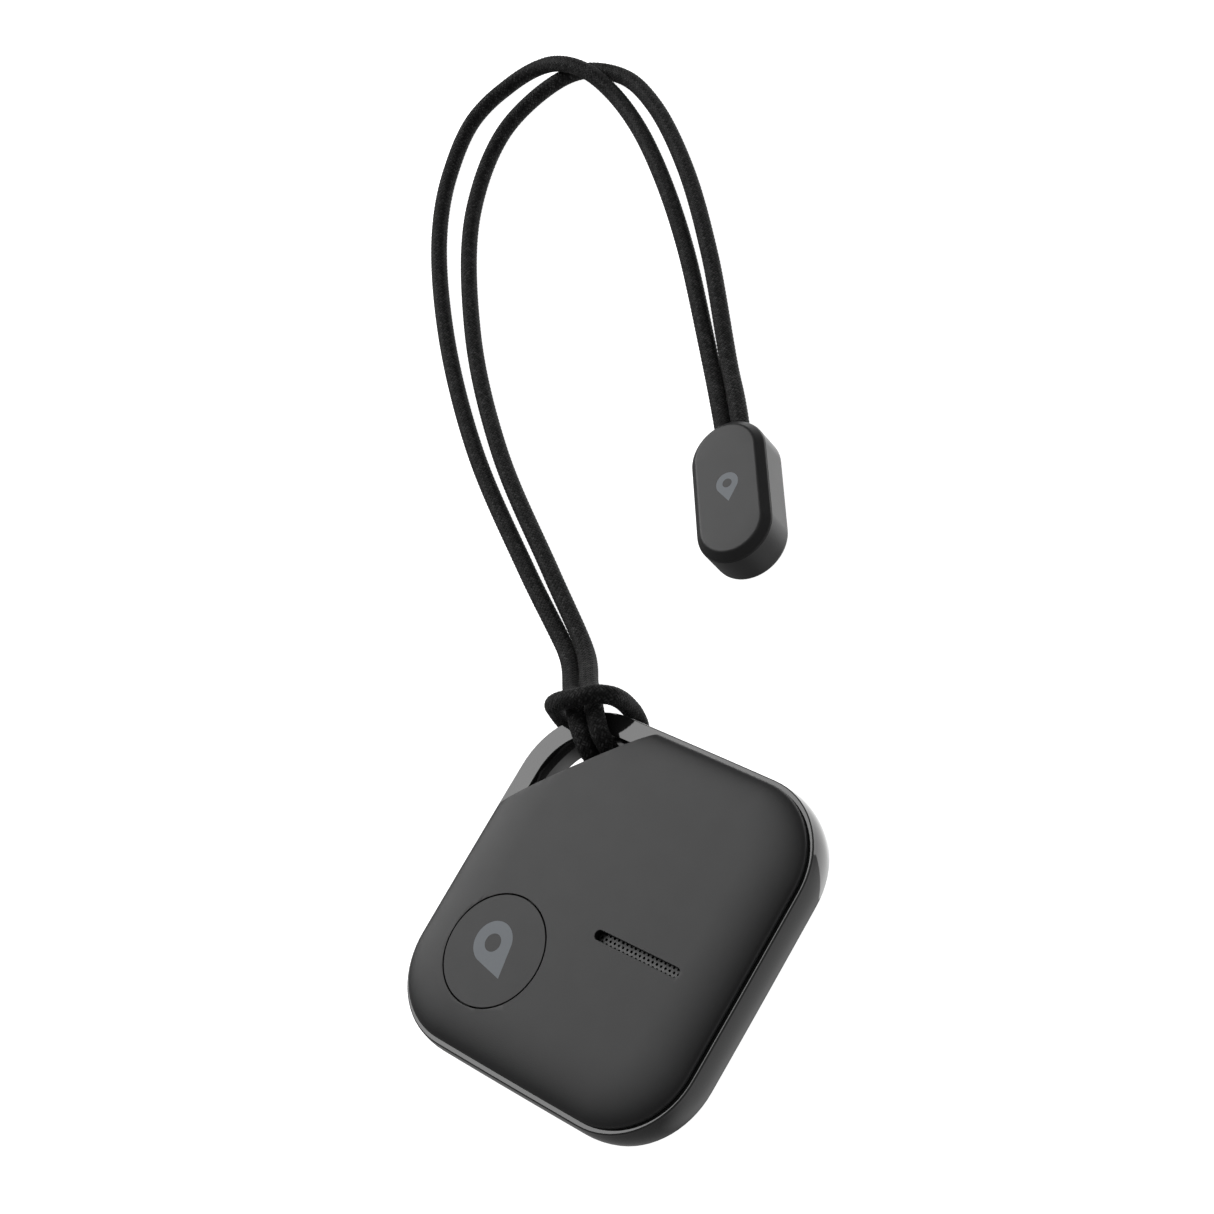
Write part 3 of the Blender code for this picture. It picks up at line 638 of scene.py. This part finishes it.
def battery_door():
    """The twist-lock door, with the coin slot that turns it."""
    profile = [(0, DOOR_INSIDE), (DOOR_HOLLOW, DOOR_INSIDE), (DOOR_HOLLOW, DOOR_TOP)]
    profile += [(DOOR_BODY, DOOR_TOP), (DOOR_BODY, DOOR_LEDGE)]
    profile += [(DOOR_FLANGE, DOOR_LEDGE), (DOOR_FLANGE, 0), (0, 0)]
    door = turned("door_disc", (0, 0), profile)
    coin_slot = stadium((-COIN_SLOT_HALF, 0), (COIN_SLOT_HALF, 0), COIN_SLOT_RADIUS)
    cut(door, plate("coin_slot", [coin_slot], -0.001, 0.0005))
    softened(door, 0.0001, 3, 50)
    finished(door, "door", SOFT_TOUCH, "soft_touch", "battery_door")


# Button and speaker


def button():
    profile = [(0, FRONT_TOP), (BUTTON_RADIUS - BUTTON_EDGE, FRONT_TOP)]
    profile += [(BUTTON_RADIUS, FRONT_TOP - BUTTON_EDGE), (BUTTON_RADIUS, BUTTON_LEDGE)]
    profile += [(BUTTON_FLANGE, BUTTON_LEDGE), (BUTTON_FLANGE, BUTTON_UNDERSIDE)]
    profile += [(STEM_RADIUS, BUTTON_UNDERSIDE), (STEM_RADIUS, STEM_END), (0, STEM_END)]
    cap = turned("button_face", BUTTON_PLACE, profile)
    towards_eyelet = Vector(diagonal(1, 0))
    outlines = list(pin_outline(BUTTON_PLACE, towards_eyelet, ICON_HEIGHT))
    cut(cap, plate("icon_pocket", outlines, FRONT_TOP - ICON_DEPTH, 0.0090))
    finished(cap, "button", SOFT_TOUCH, "soft_touch", "button_cap")
    icon = plate("button_mark", outlines, FRONT_TOP - ICON_DEPTH, FRONT_TOP)
    finished(icon, "button", PRINT, "icon_print", "button_icon")


def speaker_mesh():
    """A thin steel strip with staggered round holes, under the slot."""
    start, end = Vector(SLOT_START), Vector(SLOT_END)
    along = (end - start).normalized()
    across = Vector((-along.y, along.x))
    outlines = [stadium(start, end, SLOT_RADIUS + MESH_MARGIN)]
    count = int(((end - start).length + SLOT_RADIUS) / MESH_PITCH)
    for row in (-1, 0, 1):
        shift = 0.5 * MESH_PITCH if row else 0.0
        for number in range(count + 1):
            distance = number * MESH_PITCH + shift - 0.3 * MESH_PITCH
            centre = start + along * distance + across * row * MESH_ROW_GAP
            outlines.append(arc(centre, MESH_HOLE, 0, 330, 11))
    grille = plate("speaker_grille", outlines, MESH_LOW, MESH_HIGH)
    finished(grille, "tag", MESH_STEEL, "mesh_steel", "speaker_mesh")


# Lanyard


def hitch(u, v, z):
    """A route point near the eyelet, given along its diagonal."""
    x, y = diagonal(u, v)
    return (x, y, z)


def bead_point(along, side, z):
    """A route point at along from the bead's mouth, into the bead, and side across it."""
    across = Vector((-BEAD_AXIS.y, BEAD_AXIS.x))
    mouth = BEAD_CENTRE - BEAD_AXIS * (BEAD_STRAIGHT + BEAD_RADIUS)
    x, y = mouth + BEAD_AXIS * along + across * side
    return (x, y, z)


LIE = CORD_DIAMETER / 2
LOW_LEG = LIE + 0.00005

# From the bead along the strand that crosses on top, round the eyelet's bar, and back to the bead.
CORD_ROUTE = [
    bead_point(0.0045, -CORD_PITCH / 2, BEAD_MID),
    bead_point(0.0000, -CORD_PITCH / 2, BEAD_MID),
    (-0.02492, 0.05617, 0.00195),
    (-0.02885, 0.05985, 0.00115),
    (-0.0420, 0.0731, LIE),
    (-0.0512, 0.0811, LIE),
    (-0.0594, 0.08705, LIE),
    (-0.0661, 0.0907, 0.0015),
    (-0.0704, 0.0921, 0.0027),
    (-0.0745, 0.09235, 0.0031),
    (-0.0790, 0.09185, 0.00215),
    (-0.0833, 0.0892, 0.0011),
    (-0.08585, 0.0833, LIE),
    (-0.0843, 0.0753, LIE),
    (-0.0800, 0.0670, LIE),
    (-0.0696, 0.0549, LIE),
    (-0.0544, 0.0418, LIE),
    (-0.0374, 0.0307, LIE),
    hitch(0.0347, -0.0014, 0.0012),
    hitch(0.0280, -0.00028, 0.0040),
    hitch(0.0239, 0.00108, 0.0069),
    hitch(0.0209, 0.00135, 0.0072),
    hitch(0.0188, 0.0014, 0.0063),
    hitch(0.01795, 0.0013, 0.0040),
    hitch(0.0186, 0.0008, 0.00185),
    hitch(0.0205, -0.0001, LOW_LEG),
    hitch(0.0233, -0.00125, LOW_LEG),
    hitch(0.02485, -0.0018, 0.00195),
    hitch(0.02515, -0.00185, 0.0040),
    hitch(0.0250, -0.0014, 0.0062),
    hitch(0.0241, -0.00045, 0.00835),
    hitch(0.0234, 0.00095, 0.0093),
    hitch(0.02285, 0.0026, 0.0095),
    hitch(0.0227, 0.00435, 0.0091),
    hitch(0.0225, 0.0057, 0.00795),
    hitch(0.0228, 0.00595, 0.0062),
    hitch(0.0231, 0.0058, 0.0042),
    hitch(0.02295, 0.00565, 0.0025),
    hitch(0.0220, 0.0054, 0.0012),
    hitch(0.0203, 0.0048, LOW_LEG),
    hitch(0.0183, 0.0038, 0.0018),
    hitch(0.0178, 0.0035, 0.0040),
    hitch(0.01825, 0.0035, 0.0059),
    hitch(0.0192, 0.00348, 0.0070),
    hitch(0.0209, 0.00342, 0.00722),
    hitch(0.0237, 0.0032, 0.0068),
    hitch(0.0270, 0.00228, 0.0050),
    hitch(0.0336, 0.00095, 0.0016),
    (-0.0344, 0.0317, LIE),
    (-0.0510, 0.0428, LIE),
    (-0.0655, 0.0559, LIE),
    (-0.0768, 0.0711, LIE),
    (-0.07975, 0.0828, LIE),
    (-0.07666, 0.09045, LIE),
    (-0.0731, 0.0931, LIE),
    (-0.0663, 0.0934, LIE),
    (-0.0594, 0.0906, LIE),
    (-0.0492, 0.0834, LIE),
    (-0.0384, 0.0733, LIE),
    (-0.02672, 0.06061, 0.00115),
    (-0.02282, 0.0570, 0.00195),
    bead_point(0.0000, CORD_PITCH / 2, BEAD_MID),
    bead_point(0.0045, CORD_PITCH / 2, BEAD_MID),
]


def smooth_curve(points, steps=24):
    """A centripetal Catmull-Rom curve through the points."""
    knots = [Vector(point) for point in points]
    knots = [2 * knots[0] - knots[1]] + knots + [2 * knots[-1] - knots[-2]]
    found = []
    for p0, p1, p2, p3 in zip(knots, knots[1:], knots[2:], knots[3:]):
        t1 = (p1 - p0).length ** 0.5
        t2 = t1 + (p2 - p1).length ** 0.5
        t3 = t2 + (p3 - p2).length ** 0.5
        for step in range(steps):
            t = t1 + (t2 - t1) * step / steps
            a1 = p0.lerp(p1, t / t1)
            a2 = p1.lerp(p2, (t - t1) / (t2 - t1))
            a3 = p2.lerp(p3, (t - t2) / (t3 - t2))
            b1 = a1.lerp(a2, t / t2)
            b2 = a2.lerp(a3, (t - t1) / (t3 - t1))
            found.append(b1.lerp(b2, (t - t1) / (t2 - t1)))
    found.append(knots[-2])
    return found


def evenly(curve, step):
    """Points along the curve at nearly the given step, both ends included."""
    lengths = [0.0]
    for here, ahead in zip(curve, curve[1:]):
        lengths.append(lengths[-1] + (ahead - here).length)
    count = round(lengths[-1] / step)
    found = []
    index = 0
    for number in range(count + 1):
        target = lengths[-1] * number / count
        while index < len(curve) - 2 and lengths[index + 1] < target:
            index += 1
        share = (target - lengths[index]) / (lengths[index + 1] - lengths[index])
        found.append(curve[index].lerp(curve[index + 1], share))
    return found, lengths[-1]


def braid_height(p, q):
    """How far a braid of two crossing families of strands stands out, from 0 to 1."""
    a, b = p - math.floor(p), q - math.floor(q)
    if (math.floor(p) + math.floor(q)) % 2:
        a, b = b, a
    rounded = math.sqrt(max(0.0, 1 - (2 * a - 1) ** 2))
    return rounded * (0.5 + 0.5 * math.sin(math.pi * b))


def lanyard_cord():
    """The cord as a mesh tube, whose surface is the braid's own relief."""
    resting = smooth_curve(CORD_ROUTE)
    for place in resting:
        place.z = max(place.z, LIE)
    path, length = evenly(resting, BRAID_PICK / BRAID_SAMPLES)
    around = BRAID_STRANDS * BRAID_SAMPLES
    bm = bmesh.new()
    uv = bm.loops.layers.uv.new("braid")
    heading = (path[1] - path[0]).normalized()
    side = heading.orthogonal().normalized()
    rings = []
    for number, place in enumerate(path):
        ahead = path[min(number + 1, len(path) - 1)] - path[max(number - 1, 0)]
        ahead.normalize()
        side.rotate(heading.rotation_difference(ahead))
        side = (side - side.dot(ahead) * ahead).normalized()
        heading = ahead
        up = heading.cross(side)
        row = []
        for step in range(around):
            angle = 2 * math.pi * step / around
            p = (step + number) / BRAID_SAMPLES
            q = (step - number) / BRAID_SAMPLES
            relief = braid_height(p + BRAID_PHASE, q + BRAID_PHASE)
            radius = CORD_DIAMETER / 2 - BRAID_RELIEF * (0.8 - relief)
            row.append(bm.verts.new(place + radius * (math.cos(angle) * side + math.sin(angle) * up)))
        rings.append(row)
    for number, (near, far) in enumerate(zip(rings, rings[1:])):
        for step in range(around):
            ahead = (step + 1) % around
            face = bm.faces.new((near[step], near[ahead], far[ahead], far[step]))
            for loop, (du, dv) in zip(face.loops, ((0, 0), (1, 0), (1, 1), (0, 1))):
                turn = (step + du) / BRAID_SAMPLES + BRAID_PHASE
                loop[uv].uv = (turn, (number + dv) / BRAID_SAMPLES)
    bm.faces.new(rings[0])
    bm.faces.new(rings[-1])
    cord = add_mesh("braided_cord", bm)
    cord.data.materials.append(BRAID)
    cord.data.shade_smooth()
    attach(cord, "tag")
    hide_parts("lanyard_cord")
    return cord, path, length


def eased(profile, steps=6):
    """A profile of (inset, z, ease) points as (inset, z), with each corner rounded over its ease."""
    found = []
    last = len(profile) - 1
    for number, (inset, z, ease) in enumerate(profile):
        here = Vector((inset, z))
        if number in (0, last) or ease == 0:
            found.append(here)
            continue
        before = Vector(profile[number - 1][:2])
        after = Vector(profile[number + 1][:2])
        first = here + (before - here).normalized() * ease
        second = here + (after - here).normalized() * ease
        for step in range(steps + 1):
            t = step / steps
            found.append(first.lerp(here, t).lerp(here.lerp(second, t), t))
    return found


def bead_solid(name, profile):
    return loft(name, [(bead_outline(BEAD_RADIUS - inset), z) for inset, z in eased(profile)])


def bead():
    mouth_turn = math.atan2(BEAD_AXIS.y, BEAD_AXIS.x)
    mouth_place = BEAD_CENTRE - BEAD_AXIS * (BEAD_STRAIGHT + BEAD_RADIUS)
    body = bead_solid(
        "bead_shell",
        [(BEAD_WALL, 0, 0), (0, 0, 0.0005), (0, BEAD_SPLIT, 0.00003), (BEAD_WALL, BEAD_SPLIT, 0)],
    )
    across = CORD_PITCH + CORD_DIAMETER + MOUTH_SPARE
    upright = CORD_DIAMETER + MOUTH_SPARE
    low = BEAD_MID - upright / 2
    mouth = block("mouth", mouth_place, (MOUTH_LENGTH, across), low, low + upright, mouth_turn)
    softened(mouth, MOUTH_ROUND, 6, 35)
    cavity_outline = bead_outline(BEAD_CAVITY)
    cut(body, loft("cavity", [(cavity_outline, 0.0010), (cavity_outline, 0.0060)]), mouth)
    finished(body, "tag", BEAD_PLASTIC, "bead_plastic", "bead_body")

    seam = BEAD_SPLIT + BEAD_SEAM
    cap = bead_solid(
        "bead_lid",
        [(BEAD_WALL, seam, 0), (0.00002, seam, 0.00003), (0.00006, seam + 0.0002, 0.00012)]
        + [(BEAD_BROW, BEAD_TOP, 0.00022), (0.0030, BEAD_TOP, 0)],
    )
    towards_mouth = -BEAD_AXIS
    outlines = list(pin_outline(BEAD_CENTRE, towards_mouth, BEAD_ICON_HEIGHT))
    cut(cap, plate("bead_pocket", outlines, BEAD_TOP - ICON_DEPTH, 0.0070))
    finished(cap, "tag", BEAD_PLASTIC, "bead_plastic", "bead_cap")
    mark = plate("bead_mark", outlines, BEAD_TOP - ICON_DEPTH, BEAD_TOP)
    finished(mark, "tag", PRINT, "icon_print", "bead_icon")


# Studio

STUDIO_CENTRE = (-0.02, 0.03, 0)
ROOM_LEVEL = 0.25

# Each as a direction, the cosines where it starts and is full, and its strength
ROOM_LIGHTS = (
    ((-0.20, 0.70, -0.68), 0.755, 0.775, 2.0),
    ((0.62, 0.08, -0.78), 0.70, 0.97, 0.75),
)


def make_floor():
    bm = bmesh.new()
    bmesh.ops.create_grid(bm, x_segments=1, y_segments=1, size=1.5)
    bmesh.ops.translate(bm, verts=bm.verts, vec=(0, 0, -0.00002))
    floor = add_mesh("floor", bm)
    nodes = Nodes("floor")
    nodes.set(
        Base_Color=nodes.colours(nodes.noise(40.0), (0.54, 0.54, 0.54), (0.56, 0.56, 0.56)),
        Roughness=0.9,
        Specular_IOR_Level=0.0,
        Emission_Color=(1.0, 1.0, 1.0, 1.0),
        Emission_Strength=1.0,
    )
    floor.data.materials.append(nodes.material)
    floor.visible_glossy = False


def softbox(name, direction, distance, width, height, radiance, up=Vector((0, 0, 1))):
    """A rectangular light that faces the object, of the given brightness."""
    data = bpy.data.lights.new(name, "AREA")
    data.shape = "RECTANGLE"
    data.size = width
    data.size_y = height
    data.energy = radiance * math.pi * width * height
    light = bpy.data.objects.new(name, data)
    bpy.context.scene.collection.objects.link(light)
    back = Vector(direction).normalized()
    right = up.cross(back).normalized()
    turn = Matrix((right, back.cross(right), back)).transposed().to_4x4()
    light.matrix_world = Matrix.Translation(Vector(STUDIO_CENTRE) + back * distance) @ turn


def make_world():
    """A dim room with a bright side, low and towards +Y, and a weaker one low and towards +X."""
    world = bpy.data.worlds.new("studio")
    bpy.context.scene.world = world
    world.use_nodes = True
    tree = world.node_tree
    place = tree.nodes.new("ShaderNodeTexCoord")
    level = ROOM_LEVEL
    for direction, start, end, strength in ROOM_LIGHTS:
        facing = tree.nodes.new("ShaderNodeVectorMath")
        facing.operation = "DOT_PRODUCT"
        facing.inputs[1].default_value = Vector(direction).normalized()
        spread = tree.nodes.new("ShaderNodeMapRange")
        spread.interpolation_type = "SMOOTHSTEP"
        spread.inputs["From Min"].default_value = start
        spread.inputs["From Max"].default_value = end
        spread.inputs["To Max"].default_value = strength
        total = tree.nodes.new("ShaderNodeMath")
        tree.links.new(place.outputs["Generated"], facing.inputs[0])
        tree.links.new(facing.outputs["Value"], spread.inputs["Value"])
        tree.links.new(spread.outputs["Result"], total.inputs[0])
        if isinstance(level, float):
            total.inputs[1].default_value = level
        else:
            tree.links.new(level, total.inputs[1])
        level = total.outputs[0]
    tree.links.new(level, tree.nodes["Background"].inputs["Strength"])
    tree.nodes["Background"].inputs["Color"].default_value = (1, 1, 1, 1)


CARRIED = {
    "door_gasket": RUBBER,
    "front_seal": RUBBER,
    "rear_seal": RUBBER,
    "buzzer_foam_ring": RUBBER,
    "coin_cell_gasket": RUBBER,
    "cord_end_plug": RUBBER,
    "speaker_dust_cloth": DUST_CLOTH,
    "buzzer_brass_disc": BRASS,
    "buzzer_ceramic_disc": CERAMIC_TAN,
    "capacitor_1": CERAMIC_TAN,
    "capacitor_2": CERAMIC_TAN,
    "capacitor_3": CERAMIC_TAN,
    "chip_antenna": CERAMIC_WHITE,
    "circuit_board": BOARD,
    "switch_base": INNER_PLASTIC,
    "inner_chassis": INNER_PLASTIC,
}


def dress_carried_nodes():
    """Gives each CAD node that still shows its procedural material; what isn't listed is steel."""
    for name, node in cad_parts.items():
        node.data.materials.clear()
        node.data.materials.append(CARRIED.get(name, STEEL))


dress_carried_nodes()
make_camera()
cord, cord_path, cord_length = lanyard_cord()
mid_frame()
front_cover()
rear_cover()
battery_door()
button()
speaker_mesh()
bead()

make_floor()
softbox("key", (-0.78, 0.15, 0.60), 1.0, 0.70, 1.00, 4.6)
softbox("top", (0.1, 0.3, 1.0), 1.0, 0.8, 0.8, 0.5)
make_world()
bpy.context.scene.view_settings.view_transform = "Standard"
